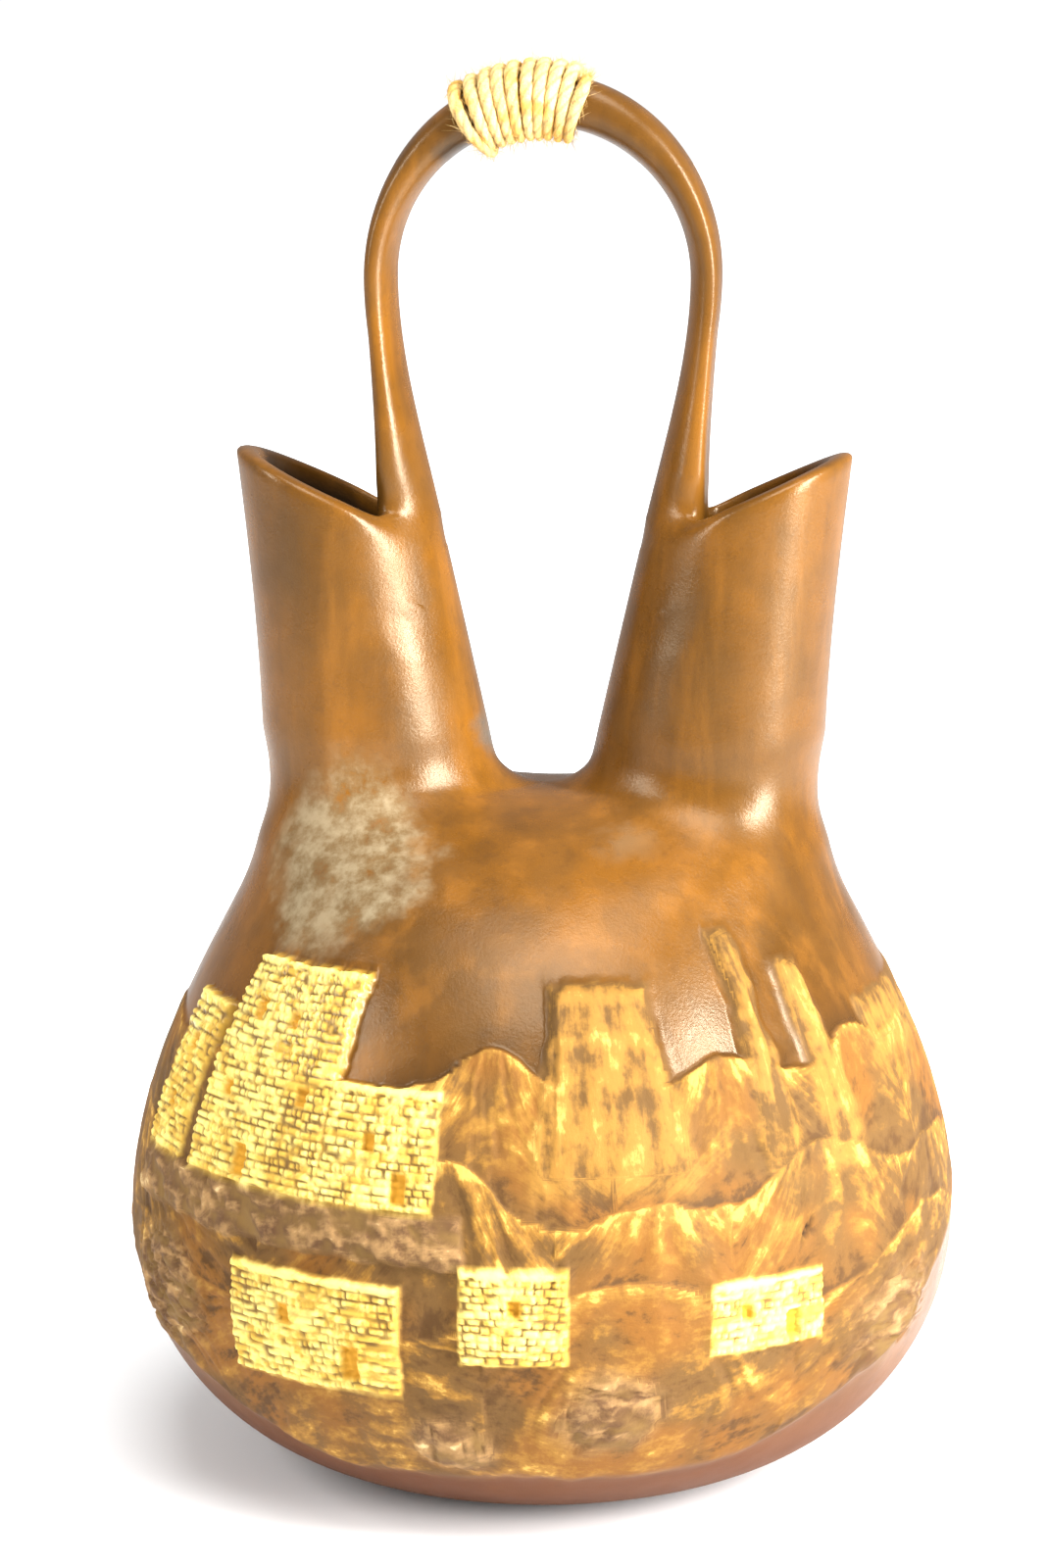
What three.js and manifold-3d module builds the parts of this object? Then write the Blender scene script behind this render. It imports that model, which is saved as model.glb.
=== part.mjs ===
// A wedding vase: one hollow fired-clay vessel whose two spouts share an arched handle,
// with a landscape carved in low relief round its front, and a jute binding wound on the handle.
// Millimetres, +Z up. The origin is the centre of the foot's underside.
// +X runs through the right spout, and -Y is the carved front.

import * as THREE from "three";
import { mergeGeometries, mergeVertices } from "three/addons/utils/BufferGeometryUtils.js";
import Module from "manifold-3d";

// Body
const footRadius = 32;
const bellyRadius = 82.6;
const bellyHeight = 50;
const shoulderRise = 34; // from the belly up to the shoulder
const shoulderReach = 75.7; // half the width there
const shoulderSlope = -0.38;
const napeRise = 30; // from the shoulder up to the nape
const napeReach = 61.4;
const napeSlope = -0.52;
const waistRise = 23; // from the nape up to the waist, where the spouts part
const waistReach = 55.9;
const wall = 4.5;
const floorThickness = 7;

// Spouts
const spoutRise = 67.8; // from the waist to the spout's outer tip
const tipReach = 60.9; // from the centre line to the tip
const tipFlare = 0.12;
const rimSlope = 0.46; // the rim falls this much for each millimetre towards the handle
const forkHalfWidth = 8.4; // the round bottom of the fork between the spouts
const forkDepth = 6;
const forkSpread = 0.225; // and its sides lean out by this
const spoutDepthRatio = 1.12; // front-to-back stretch of a spout's section
const outerLip = { width: 3, drop: 2 }; // the rim rounds down by these towards the outside
const innerLip = { width: 1.2, drop: 1.2 };

// Handle
const rootSink = 10; // how deep its roots run down inside the spouts' walls
const rootCover = 0.4; // their inner faces start this deep under the skin and come out at the rim
const springRise = 33.2; // from the spouts' tips to where the arch springs
const archHalfSpan = 31.7;
const archRise = 34.2;
const root = { thickness: 3.2, width: 24, curl: 0.028 };
const strap = { thickness: 6, width: 18, curl: 0.014 };
const rootFlare = 7; // the root spreads this much wider into the rim
const rootBulge = 7; // and grows this much thicker there, towards the spout's mouth
const bulgeRise = 44; // from the rim's low end up to where the thickening starts
const grip = { thickness: 10.2, width: 11, curl: 0 };

// Jute binding on the handle
const cordDiameter = 2.7;
const cordPitch = 2.5; // turns crowd on the arch's inside and lie side by side on its outside
const bindingTurns = 9;
const bindingOffset = -4.2; // its middle lies this far along the arch from the top
const bindingClearance = 0.35;

// Derived heights
const shoulderHeight = bellyHeight + shoulderRise;
const napeHeight = shoulderHeight + napeRise;
const waistHeight = napeHeight + waistRise;
const tipHeight = waistHeight + spoutRise;
const springHeight = tipHeight + springRise;

// The carving. Angles are degrees round the body from the front, to the right.
// Levels are shares of the waist's height, and raises are millimetres.
const carvingEdge = 96; // the picture fades out from this angle
const carvingFade = 20;
const bevel = 1;
const landRaise = 1.1;
const plainLevel = 0.67;
const rocks = [
  { name: "tableland", from: 64, to: 120, foot: 0.62, top: 0.73, raise: 0.4 },
  { name: "mesa", from: 2, to: 27, foot: 0.515, top: 0.8, raise: 0.9 },
  { name: "pinnacle", from: 37, to: 44, foot: 0.515, top: 0.85, raise: 0.9 },
  { name: "butte", from: 48, to: 57, foot: 0.515, top: 0.8, raise: 0.7 },
];
const houses = [
  { name: "tower", from: -67, to: -55, foot: 0.515, top: 0.73, raise: 1.1 },
  { name: "hall", from: -52, to: -27, foot: 0.515, top: 0.8, raise: 1.7 },
  { name: "wing", from: -27, to: -10, foot: 0.515, top: 0.67, raise: 1.2 },
  { name: "terrace", from: -40, to: -14, foot: 0.26, top: 0.415, raise: 1.6 },
  { name: "roundhouse", from: -6, to: 8, foot: 0.315, top: 0.445, raise: 1.6 },
  { name: "hut", from: 27, to: 44, foot: 0.315, top: 0.415, raise: 1.2 },
];
const ledge = { name: "ledge", from: -67, to: -6, foot: 0.445, top: 0.515, raise: 1.3 };
const boulders = [
  { angle: -56, level: 0.33, spread: 0.12, raise: 1.8 },
  { angle: -8, level: 0.19, spread: 0.07, raise: 2 },
  { angle: 14, level: 0.24, spread: 0.09, raise: 2.1 },
  { angle: 60, level: 0.3, spread: 0.12, raise: 1.3 },
];

const smooth = (t) => {
  const s = Math.min(1, Math.max(0, t));
  return s * s * (3 - 2 * s);
};
const mix = (a, b, t) => a + (b - a) * t;
const arc = (share) => Math.sqrt(Math.max(0, 1 - share * share));

// A cubic between two stations { at, value, slope }.
function hermite(a, b, at) {
  const span = b.at - a.at;
  const t = (at - a.at) / span;
  const rise = t * t * (3 - 2 * t);
  return (
    mix(a.value, b.value, rise) +
    span * (a.slope * t * (1 - t) ** 2 - b.slope * t * t * (1 - t))
  );
}

const outline = [
  { at: bellyHeight, value: bellyRadius, slope: 0 },
  { at: shoulderHeight, value: shoulderReach, slope: shoulderSlope },
  { at: napeHeight, value: napeReach, slope: napeSlope },
  { at: waistHeight, value: waistReach, slope: 0 },
  { at: tipHeight, value: tipReach, slope: tipFlare },
];

// The skin of the vessel at an inset from its outside: 0 is the outside, the wall is the cavity.
// reach is half the width at a height, dome is the depth in front of the centre line, and
// throat is how far each spout's inner side stands from it.
const floorOf = (inset) => (floorThickness * inset) / wall;
const crestOf = (inset) => waistHeight - inset;

function reach(z, inset) {
  if (z < bellyHeight) {
    const share = (bellyHeight - z) / (bellyHeight - floorOf(inset));
    return footRadius + (bellyRadius - inset - footRadius) * arc(share);
  }
  if (z > tipHeight) return tipReach + tipFlare * (z - tipHeight) - inset;
  const i = outline.findIndex((station) => z <= station.at);
  const k = Math.max(1, i);
  return hermite(outline[k - 1], outline[k], z) - inset;
}

function dome(z, inset) {
  if (z < bellyHeight) return reach(z, inset);
  return (bellyRadius - inset) * arc((z - bellyHeight) / (crestOf(inset) - bellyHeight));
}

function throat(z, inset) {
  const above = Math.max(0, z - crestOf(inset));
  const round = arc(1 - Math.min(1, above / (forkDepth + inset)));
  return (forkHalfWidth + inset) * round + forkSpread * Math.max(0, z - waistHeight);
}

const depthRatio = (z) => {
  const turn = mix(bellyHeight, waistHeight, 0.6);
  return mix(1, spoutDepthRatio, smooth((z - turn) / (waistHeight - turn)));
};

// Each level section is a Cassini oval: one loop in the body, two in the spouts.
function ovalAt(z, inset) {
  const k = depthRatio(z);
  const outer = Math.max(reach(z, inset), 1) ** 2;
  const inner = z < crestOf(inset) ? -((dome(z, inset) / k) ** 2) : throat(z, inset) ** 2;
  return { k, focus2: (outer + inner) / 2, size4: ((outer - inner) / 2) ** 2 };
}

function halfDepth(x, z, inset) {
  const { k, focus2, size4 } = ovalAt(z, inset);
  const root4 = Math.sqrt(Math.max(0, 4 * x * x * focus2 + size4));
  return k * Math.sqrt(Math.max(0, root4 - x * x - focus2));
}

function skinNormal(x, y, z) {
  const field = (px, py, pz) => {
    const { k, focus2, size4 } = ovalAt(pz, 0);
    const d2 = (py / k) ** 2;
    return (px * px + d2 + focus2) ** 2 - 4 * px * px * focus2 - size4;
  };
  const h = 0.05;
  return new THREE.Vector3(
    field(x + h, y, z) - field(x - h, y, z),
    field(x, y + h, z) - field(x, y - h, z),
    field(x, y, z + h) - field(x, y, z - h),
  ).normalize();
}

const landFoot = (angle) => 0.1 + 0.3 * smooth((Math.abs(angle) - 25) / 75);

// 1 inside a block and 0 outside, falling over the bevel. Lengths are millimetres.
const inside = (...margins) =>
  Math.min(1, Math.max(0, 0.5 + Math.min(...margins) / bevel));

function blockShare({ from, to, foot, top }, angle, level, radius) {
  const perDegree = (Math.PI / 180) * radius;
  return inside(
    (angle - from) * perDegree,
    (to - angle) * perDegree,
    (level - foot) * waistHeight,
    (top - level) * waistHeight,
  );
}

// How far the carving stands proud of the plain skin.
function relief(angle, z, radius) {
  const level = z / waistHeight;
  const fade = 1 - smooth((Math.abs(angle) - carvingEdge) / carvingFade);
  if (fade <= 0 || level > 1) return 0;
  const sky = inside((plainLevel - level) * waistHeight);
  const foot = smooth((level - landFoot(angle)) / 0.04);
  let height = landRaise * sky * foot;
  for (const b of boulders) {
    const across = ((angle - b.angle) * Math.PI * radius) / 180 / waistHeight;
    const away = Math.hypot(across * 0.8, level - b.level) / b.spread;
    height += b.raise * smooth(1 - away);
  }
  for (const block of [...rocks, ledge, ...houses])
    height = mix(height, landRaise + block.raise, blockShare(block, angle, level, radius));
  return height * fade;
}

// Sorted grid lines from low to high, with a pair at each edge and no gap over most.
function gridLines(low, high, edges, half, most) {
  const set = new Set([low, high]);
  for (const edge of edges)
    for (const line of [edge - half, edge + half])
      if (line > low + half && line < high - half) set.add(line);
  const lines = [...set].sort((a, b) => a - b);
  return lines.flatMap((line, i) => {
    if (!i) return [line];
    const count = Math.ceil((line - lines[i - 1]) / most);
    return Array.from({ length: count }, (_, n) => mix(lines[i - 1], line, (n + 1) / count));
  });
}

// A row of the vessel's grid: heights at its inner and outer ends, spread is 0 for a level
// section of the body and 1 for a spout's, and inset says which skin it lies on.
const level = (z, inset, fine) => ({ inner: z, outer: z, spread: 0, inset, fine });
const fanStart = 0.9; // from this share of the waist's height the rows fan out over the dome

function upperRows(inset, fanCount, spoutCount) {
  const rows = [];
  const crest = crestOf(inset);
  const start = fanStart * crest;
  const startTurn = Math.acos((start - bellyHeight) / (crest - bellyHeight));
  for (let i = 1; i <= fanCount; i++) {
    const share = i / fanCount;
    const inner = bellyHeight + (crest - bellyHeight) * Math.cos(startTurn * (1 - share));
    rows.push({ inner, outer: mix(start, crest, share), spread: smooth(share), inset });
  }
  rows.at(-1).inner = crest;
  const rim = rimRow(inset);
  for (let i = 1; i <= spoutCount; i++) {
    const share = i / spoutCount;
    const inner = mix(crest, rim.inner, share ** 1.3);
    rows.push({ inner, outer: mix(crest, rim.outer, share), spread: 1, inset });
  }
  return rows;
}

// The row in the rim's slanting plane, below the lip.
function rimRow(inset) {
  const outer = tipHeight - lipOf(inset).drop - rimSlope * inset;
  let inner = outer;
  for (let i = 0; i < 8; i++)
    inner = outer - rimSlope * (reach(outer, inset) - throat(inner, inset));
  return { inner, outer, spread: 1, inset };
}

const lipOf = (inset) => (inset > 0 ? innerLip : outerLip);

const columnsOf = (count) => Array.from({ length: count + 1 }, (_, i) => i / count);

// One quarter of a skin: each row is a line of points from the centre line to the side.
function quarter(rows, columns, sideSign, faceSign, carved) {
  const lines = rows.map((row) => {
    const marks = columns(sideSign, faceSign, row);
    const points = marks.map((t) => skinPoint(row, t, sideSign, faceSign, carved));
    return { marks, points };
  });
  return { lines, surface: sheet(lines, sideSign * faceSign > 0) };
}

function skinPoint(row, t, sideSign, faceSign, carved) {
  const turn = (Math.PI / 2) * t;
  const z = mix(row.inner, row.outer, Math.sin(turn) ** 2);
  const lobed = z >= crestOf(row.inset) - 1e-9;
  const inner = lobed ? throat(z, row.inset) : 0;
  const across = mix(Math.sin(turn), Math.sin(turn) ** 2, row.spread);
  const x = mix(inner, reach(z, row.inset), across);
  const onSeam = t === 1 || (t === 0 && lobed);
  const y = onSeam ? 0 : faceSign * halfDepth(x, z, row.inset);
  const point = new THREE.Vector3(sideSign * x, y, z + (row.lift ?? 0));
  if (!carved || row.lift) return point;
  const angle = (Math.atan2(point.x, -y) * 180) / Math.PI;
  const raise = relief(angle, z, Math.hypot(x, y));
  if (raise > 0) point.addScaledVector(skinNormal(point.x, y, z), raise);
  if (t === 0 && !lobed) point.x = 0;
  return point;
}

// A surface through lines of points, each with rising marks along it. Lines may differ in
// their marks, and the strip between two of them is zipped from the first mark to the last.
function sheet(lines, turned) {
  const starts = [0];
  for (const { points } of lines) starts.push(starts.at(-1) + points.length);
  const index = [];
  const triangle = (a, b, c) => index.push(...(turned ? [a, c, b] : [a, b, c]));
  for (let n = 0; n + 1 < lines.length; n++) {
    const low = lines[n].marks;
    const high = lines[n + 1].marks;
    let i = 0;
    let k = 0;
    while (i + 1 < low.length || k + 1 < high.length) {
      const stepLow = k + 1 === high.length || (i + 1 < low.length && low[i + 1] <= high[k + 1]);
      if (stepLow) triangle(starts[n] + i, starts[n] + ++i, starts[n + 1] + k);
      else triangle(starts[n] + i, starts[n + 1] + k + 1, starts[n + 1] + k++);
    }
  }
  const surface = new THREE.BufferGeometry();
  surface.setFromPoints(lines.flatMap(({ points }) => points));
  surface.setIndex(index);
  return surface;
}

// A flat lid over a closed ring of points, laced from both sides of its first point.
function lid(ring, up) {
  const index = [];
  const triangle = (a, b, c) => index.push(...(up ? [a, b, c] : [b, a, c]));
  let low = 0;
  let high = ring.length - 1;
  while (high - low > 1) {
    triangle(low, low + 1, high);
    low++;
    if (high - low > 1) triangle(low, high - 1, high);
    high--;
  }
  const surface = new THREE.BufferGeometry().setFromPoints(ring);
  surface.setIndex(index);
  return surface;
}

// A closed skin: four quarters, a lid under the body and one on each spout.
// columns gives the marks along a row by its side and face.
function closedSkin(rows, columns, carved) {
  const make = (side, face) => quarter(rows, columns, side, face, carved);
  const [leftFront, leftBack, rightFront, rightBack] = [
    make(-1, -1),
    make(-1, 1),
    make(1, -1),
    make(1, 1),
  ];
  const out = (corner, row) => corner.lines.at(row).points.slice(0, -1);
  const home = (corner, row) => corner.lines.at(row).points.slice(1).reverse();
  const bottom = [
    ...out(rightFront, 0),
    ...home(rightBack, 0),
    ...out(leftBack, 0),
    ...home(leftFront, 0),
  ];
  return joined([
    ...[leftFront, leftBack, rightFront, rightBack].map(({ surface }) => surface),
    lid(bottom, false),
    lid([...out(rightFront, -1), ...home(rightBack, -1)], true),
    lid([...out(leftFront, -1), ...home(leftBack, -1)], false),
  ]);
}

const joined = (surfaces) => mergeVertices(mergeGeometries(surfaces), 1e-4);

// Rows of the quarter-round from a skin to its lip: the outside turns in, the cavity out.
// They shift along the rim's slanting plane as they close in.
function lipRows(inset, towards, steps) {
  const rim = rimRow(inset);
  const { width, drop } = lipOf(inset);
  return columnsOf(steps)
    .slice(1)
    .map((share) => {
      const turn = (Math.PI / 2) * share;
      const shift = towards * width * (1 - Math.cos(turn));
      return {
        inner: rim.inner + rimSlope * shift,
        outer: rim.outer - rimSlope * shift,
        spread: 1,
        inset: inset + shift,
        lift: drop * Math.sin(turn),
      };
    });
}

function outsideSkin() {
  const heel = [0, 12, 24, 36].map(
    (turn) => bellyHeight * (1 - Math.cos((turn * Math.PI) / 180)),
  );
  const blocks = [...rocks, ledge, ...houses];
  const levels = blocks.flatMap(({ foot, top }) => [foot, top]);
  const heights = levels.map((share) => share * waistHeight);
  const lowest = 0.12 * waistHeight;
  const picture = gridLines(lowest, fanStart * waistHeight, heights, bevel / 2, 6.5);
  const rows = [
    ...heel.map((z) => level(z, 0, false)),
    ...picture.map((z, i) => level(z, 0, i + 1 < picture.length)),
    ...upperRows(0, 6, 8),
    ...lipRows(0, 1, 2),
  ];
  const bevelShare = bevel / 2 / (bellyRadius * (Math.PI / 2));
  const columns = (side, face, { fine }) => {
    if (!fine) return columnsOf(9);
    if (face > 0) return columnsOf(8);
    const edges = blocks.flatMap(({ from, to }) => [from, to]);
    return gridLines(0, 1, edges.map((angle) => (side * angle) / 90), bevelShare, 0.08);
  };
  return closedSkin(rows, columns, true);
}

function cavitySkin() {
  const floor = floorOf(wall);
  const bowl = [0, 22, 44, 66].map(
    (turn) => bellyHeight - (bellyHeight - floor) * Math.cos((turn * Math.PI) / 180),
  );
  const shoulder = gridLines(bellyHeight, fanStart * crestOf(wall), [], 0, 15);
  const lips = lipRows(wall, -1, 2);
  const above = { ...lips.at(-1), lift: lips.at(-1).lift + 6 };
  const rows = [
    ...[...bowl, ...shoulder].map((z) => level(z, wall, false)),
    ...upperRows(wall, 4, 5),
    ...lips,
    above,
  ];
  return closedSkin(rows, () => columnsOf(7), false);
}

// The handle's middle line on the right, from the root to the arch's top, with its section.
function handleStations(legCount, archCount) {
  const rimInner = rimRow(0).inner;
  const foot = rimInner - rootSink;
  const start = {
    at: foot,
    value: throat(foot, 0) + rootCover + root.thickness / 2,
    slope: forkSpread - (2 * rootCover) / rootSink,
  };
  const end = { at: springHeight, value: archHalfSpan, slope: 0 };
  const stations = [];
  for (let i = 0; i < legCount; i++) {
    const share = i / legCount;
    const z = mix(foot, springHeight, share);
    const section = blendSection(root, strap, smooth(share));
    section.width += rootFlare * (1 - smooth((z - rimInner) / 12));
    const near = Math.max(0, (rimInner + bulgeRise - z) / (bulgeRise - 6));
    const bulge = rootBulge * Math.min(1, near) ** 1.5 * smooth((z - foot) / 16);
    section.thickness += bulge;
    stations.push({ x: hermite(start, end, z) + bulge / 2, z, section });
  }
  for (let i = 0; i <= archCount; i++) {
    const share = i / archCount;
    stations.push({ ...archPoint(share), section: blendSection(strap, grip, smooth(share)) });
  }
  return stations;
}

const blendSection = (a, b, t) => ({
  thickness: mix(a.thickness, b.thickness, t),
  width: mix(a.width, b.width, t),
  curl: mix(a.curl, b.curl, t),
});

// The arch from its spring, share 0, to its top, share 1. Shares over 1 run down the left.
function archPoint(share) {
  const turn = (Math.PI / 2) * share;
  return {
    x: archHalfSpan * Math.cos(turn),
    z: springHeight + archRise * Math.sin(turn),
  };
}

// A section's ring round a point of the middle line, outward being away from the arch's inside.
// swell makes it larger all round, and the section is a squared ellipse with its edges bent out.
function sectionRing(point, outward, section, count, swell = 0) {
  const square = 0.85;
  const shaped = (v) => Math.sign(v) * Math.abs(v) ** square;
  return Array.from({ length: count }, (_, i) => {
    const turn = (2 * Math.PI * i) / count;
    const across = shaped(Math.cos(turn)) * (section.width / 2 + swell);
    const out =
      shaped(Math.sin(turn)) * (section.thickness / 2 + swell) + section.curl * across ** 2;
    return new THREE.Vector3(point.x + outward.x * out, across, point.z + outward.z * out);
  });
}

// Outward at each station: square to the middle line.
function outwards(line) {
  return line.map((_, i) => {
    const before = line[Math.max(0, i - 1)];
    const after = line[Math.min(line.length - 1, i + 1)];
    return new THREE.Vector3(after.z - before.z, 0, before.x - after.x).normalize();
  });
}

function handleSkin() {
  const right = handleStations(10, 9);
  const left = right.slice(0, -1).map((s) => ({ ...s, x: -s.x }));
  const line = [...right, ...left.reverse()];
  const sides = 14;
  const directions = outwards(line);
  const rings = line.map((s, i) => sectionRing(s, directions[i], s.section, sides));
  return tubeOf(rings);
}

// A closed tube through rings of as many points each.
function tubeOf(rings) {
  const side = sheet(rings.map((ring) => closedLine([...ring, ring[0]])), true);
  return joined([side, lid(rings[0], true), lid(rings.at(-1), false)]);
}

const closedLine = (points) => ({ points, marks: [...points.keys()] });

// The binding is a cord wound side by side round the arch, so its turns make one ribbed skin
// over a bore that clears the handle. Both follow the helix, and a cut end closes each side.
function bindingSkin() {
  const sides = 14;
  const ribs = [0, 0.16, 0.5, 0.84]; // across one turn: groove, flank, crest, flank
  const quarterLength = (Math.PI / 4) * (archHalfSpan + archRise);
  const middle = 1 - bindingOffset / quarterLength;

  function corner(turns, side, swell) {
    const along = (turns - (bindingTurns + 1) / 2) * cordPitch;
    const share = middle + along / quarterLength;
    const [, outward] = outwards([share - 0.01, share, share + 0.01].map(archPoint));
    const section = blendSection(strap, grip, smooth(1 - Math.abs(1 - share)));
    return sectionRing(archPoint(share), outward, section, sides, swell)[side];
  }
  // A step past the last side is the next turn's first side.
  function outer(step, side) {
    if (side === sides) return outer(step + ribs.length, 0);
    const across = ribs[step % ribs.length];
    const height = cordDiameter * (0.5 + 0.5 * arc(2 * across - 1));
    const turns = Math.floor(step / ribs.length) + across;
    return corner(turns + side / sides, side, bindingClearance + height);
  }
  function bore(ring, side) {
    if (side === sides) return bore(ring + 1, 0);
    return corner(ring + side / sides, side, bindingClearance);
  }

  const last = bindingTurns * ribs.length;
  const line = (at) => closedLine(Array.from({ length: sides + 1 }, (_, side) => at(side)));
  const lines = (count, corners) =>
    Array.from({ length: count + 1 }, (_, row) => line((side) => corners(row, side)));
  const endStrip = (step, ring) => [
    line((side) => bore(ring, side)),
    line((side) => outer(step, side)),
  ];
  const cutEnd = (step, ring, side, turned) => {
    const ridge = [...ribs.keys(), ribs.length].map((n) => outer(step + n, side));
    return lid([bore(ring, side), ...ridge, bore(ring + 1, side)], turned);
  };
  return joined([
    sheet(lines(last, outer), true),
    sheet(lines(bindingTurns, bore), false),
    sheet(endStrip(0, 0), true),
    sheet(endStrip(last, bindingTurns), false),
    cutEnd(0, 0, 0, false),
    cutEnd(last - ribs.length, bindingTurns - 1, sides, true),
  ]);
}

const wasm = await Module();
wasm.setup();

function solidOf(skin) {
  const vertProperties = new Float32Array(skin.getAttribute("position").array);
  const triVerts = new Uint32Array(skin.index.array);
  return new wasm.Manifold(new wasm.Mesh({ numProp: 3, vertProperties, triVerts }));
}

function geometryOf(solid) {
  const { numProp, vertProperties, triVerts } = solid.getMesh();
  const geometry = new THREE.BufferGeometry();
  geometry.setAttribute("position", new THREE.BufferAttribute(vertProperties, numProp));
  geometry.setIndex(new THREE.BufferAttribute(triVerts, 1));
  geometry.computeVertexNormals();
  return geometry;
}

const vase = new THREE.Group();

function piece(name, solid, material) {
  const mesh = new THREE.Mesh(geometryOf(solid), material);
  mesh.name = name;
  vase.add(mesh);
}

const clay = new THREE.MeshStandardMaterial({ color: 0xa8763c, roughness: 0.4, metalness: 0 });
const jute = new THREE.MeshStandardMaterial({ color: 0xd8bb7c, roughness: 0.9, metalness: 0 });

const vessel = solidOf(outsideSkin()).subtract(solidOf(cavitySkin()));
piece("vase_body", vessel.add(solidOf(handleSkin())), clay);
piece("handle_binding", solidOf(bindingSkin()), jute);

export default vase;
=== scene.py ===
import math

import bmesh
import bpy
import numpy as np
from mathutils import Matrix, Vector
from mathutils.bvhtree import BVHTree


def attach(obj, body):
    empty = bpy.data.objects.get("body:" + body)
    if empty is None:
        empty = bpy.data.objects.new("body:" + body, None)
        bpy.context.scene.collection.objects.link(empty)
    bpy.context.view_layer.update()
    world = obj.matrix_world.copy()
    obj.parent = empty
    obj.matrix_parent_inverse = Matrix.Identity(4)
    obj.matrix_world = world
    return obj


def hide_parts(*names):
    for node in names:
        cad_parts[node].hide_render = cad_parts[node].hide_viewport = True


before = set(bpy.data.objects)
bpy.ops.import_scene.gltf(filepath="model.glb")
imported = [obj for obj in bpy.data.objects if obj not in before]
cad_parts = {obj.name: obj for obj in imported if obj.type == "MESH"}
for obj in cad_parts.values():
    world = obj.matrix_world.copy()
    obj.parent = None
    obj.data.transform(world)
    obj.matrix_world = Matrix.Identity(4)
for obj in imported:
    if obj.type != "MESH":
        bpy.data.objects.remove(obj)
for leftover in ("Cube", "Light", "Camera"):
    if leftover in bpy.data.objects:
        bpy.data.objects.remove(bpy.data.objects[leftover])
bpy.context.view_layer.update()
mm = 0.001

# the camera, from the photo's outline: its direction, distance and aim
view = {
    "azimuth": 5,
    "elevation": 12,
    "distance": 1.0,
    "sensor": 36,
    "focalPixels": 5117,
    "longSidePixels": 1600,
    "aimHeight": 136.5 * mm,
    "aimLeft": 4.12 * mm,
}


def direction(azimuth, elevation):
    turn, tilt = math.radians(azimuth), math.radians(elevation)
    return Vector((math.sin(turn) * math.cos(tilt), -math.cos(turn) * math.cos(tilt), math.sin(tilt)))


# puts a camera or light at a distance from what it points at
def aimed(name, data, target, away, distance):
    thing = bpy.data.objects.new(name, data)
    thing.location = target + away * distance
    thing.rotation_euler = away.to_track_quat("Z", "Y").to_euler()
    bpy.context.collection.objects.link(thing)
    return thing


def makeCamera():
    turn = math.radians(view["azimuth"])
    back = direction(view["azimuth"], view["elevation"])
    right = Vector((math.cos(turn), math.sin(turn), 0))
    aim = Vector((0, 0, view["aimHeight"])) - right * view["aimLeft"]
    lensData = bpy.data.cameras.new("camera")
    lensData.sensor_width = view["sensor"]
    lensData.lens = view["sensor"] * view["focalPixels"] / view["longSidePixels"]
    lensData.clip_start = 0.05
    bpy.context.scene.camera = aimed("camera", lensData, aim, back, view["distance"])


makeCamera()
print("camera placed")

# the vase's sizes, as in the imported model
vase = {
    "foot": 32 * mm,
    "belly": 82.6 * mm,
    "bellyAt": 50 * mm,
    "waistAt": 137 * mm,
    "tipAt": 204.8 * mm,
    "tip": 60.9 * mm,
    "tipFlare": 0.12,
    "rimTilt": 0.075,
    "tiltFrom": 150 * mm,
    "tiltOver": 45 * mm,
    "wall": 4.5 * mm,
    "floor": 7 * mm,
    "rimSlope": 0.46,
    "fork": 8.4 * mm,
    "forkDepth": 6 * mm,
    "forkSpread": 0.225,
    "depthRatio": 1.12,
    "outerLip": (3 * mm, 2 * mm),
    "innerLip": (1.2 * mm, 1.2 * mm),
    "fanStart": 0.9,
    "landRaise": 1.1 * mm,
}
# height, half width and slope down the side
stations = [
    (vase["bellyAt"], vase["belly"], 0),
    (84 * mm, 75.7 * mm, -0.38),
    (114 * mm, 61.4 * mm, -0.52),
    (vase["waistAt"], 55.9 * mm, 0),
    (vase["tipAt"], vase["tip"], vase["tipFlare"]),
]


def smooth(t):
    s = np.clip(t, 0, 1)
    return s * s * (3 - 2 * s)


def eased(t):
    return float(smooth(t))


def mix(a, b, t):
    return a + (b - a) * t


def arc(share):
    return np.sqrt(np.maximum(0, 1 - share * share))


def hermite(a, b, at):
    span = b[0] - a[0]
    t = (at - a[0]) / span
    bend = a[2] * t * (1 - t) ** 2 - b[2] * t * t * (1 - t)
    return mix(a[1], b[1], t * t * (3 - 2 * t)) + span * bend


# inset 0 is the outside and the wall is the cavity
def reach(z, inset):
    bottom = vase["floor"] * inset / vase["wall"]
    share = (vase["bellyAt"] - z) / (vase["bellyAt"] - bottom)
    width = vase["foot"] + (vase["belly"] - inset - vase["foot"]) * arc(np.clip(share, 0, 1))
    for a, b in zip(stations, stations[1:]):
        width = np.where((z > a[0]) & (z <= b[0]), hermite(a, b, z) - inset, width)
    above = vase["tip"] + vase["tipFlare"] * (z - vase["tipAt"]) - inset
    return np.where(z > vase["tipAt"], above, width)


def dome(z, inset):
    share = (z - vase["bellyAt"]) / (vase["waistAt"] - inset - vase["bellyAt"])
    return np.where(z < vase["bellyAt"], reach(z, inset), (vase["belly"] - inset) * arc(share))


def throat(z, inset):
    above = np.maximum(0, z - vase["waistAt"] + inset)
    curve = arc(1 - np.minimum(1, above / (vase["forkDepth"] + inset)))
    lean = vase["forkSpread"] * np.maximum(0, z - vase["waistAt"])
    return (vase["fork"] + inset) * curve + lean


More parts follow.
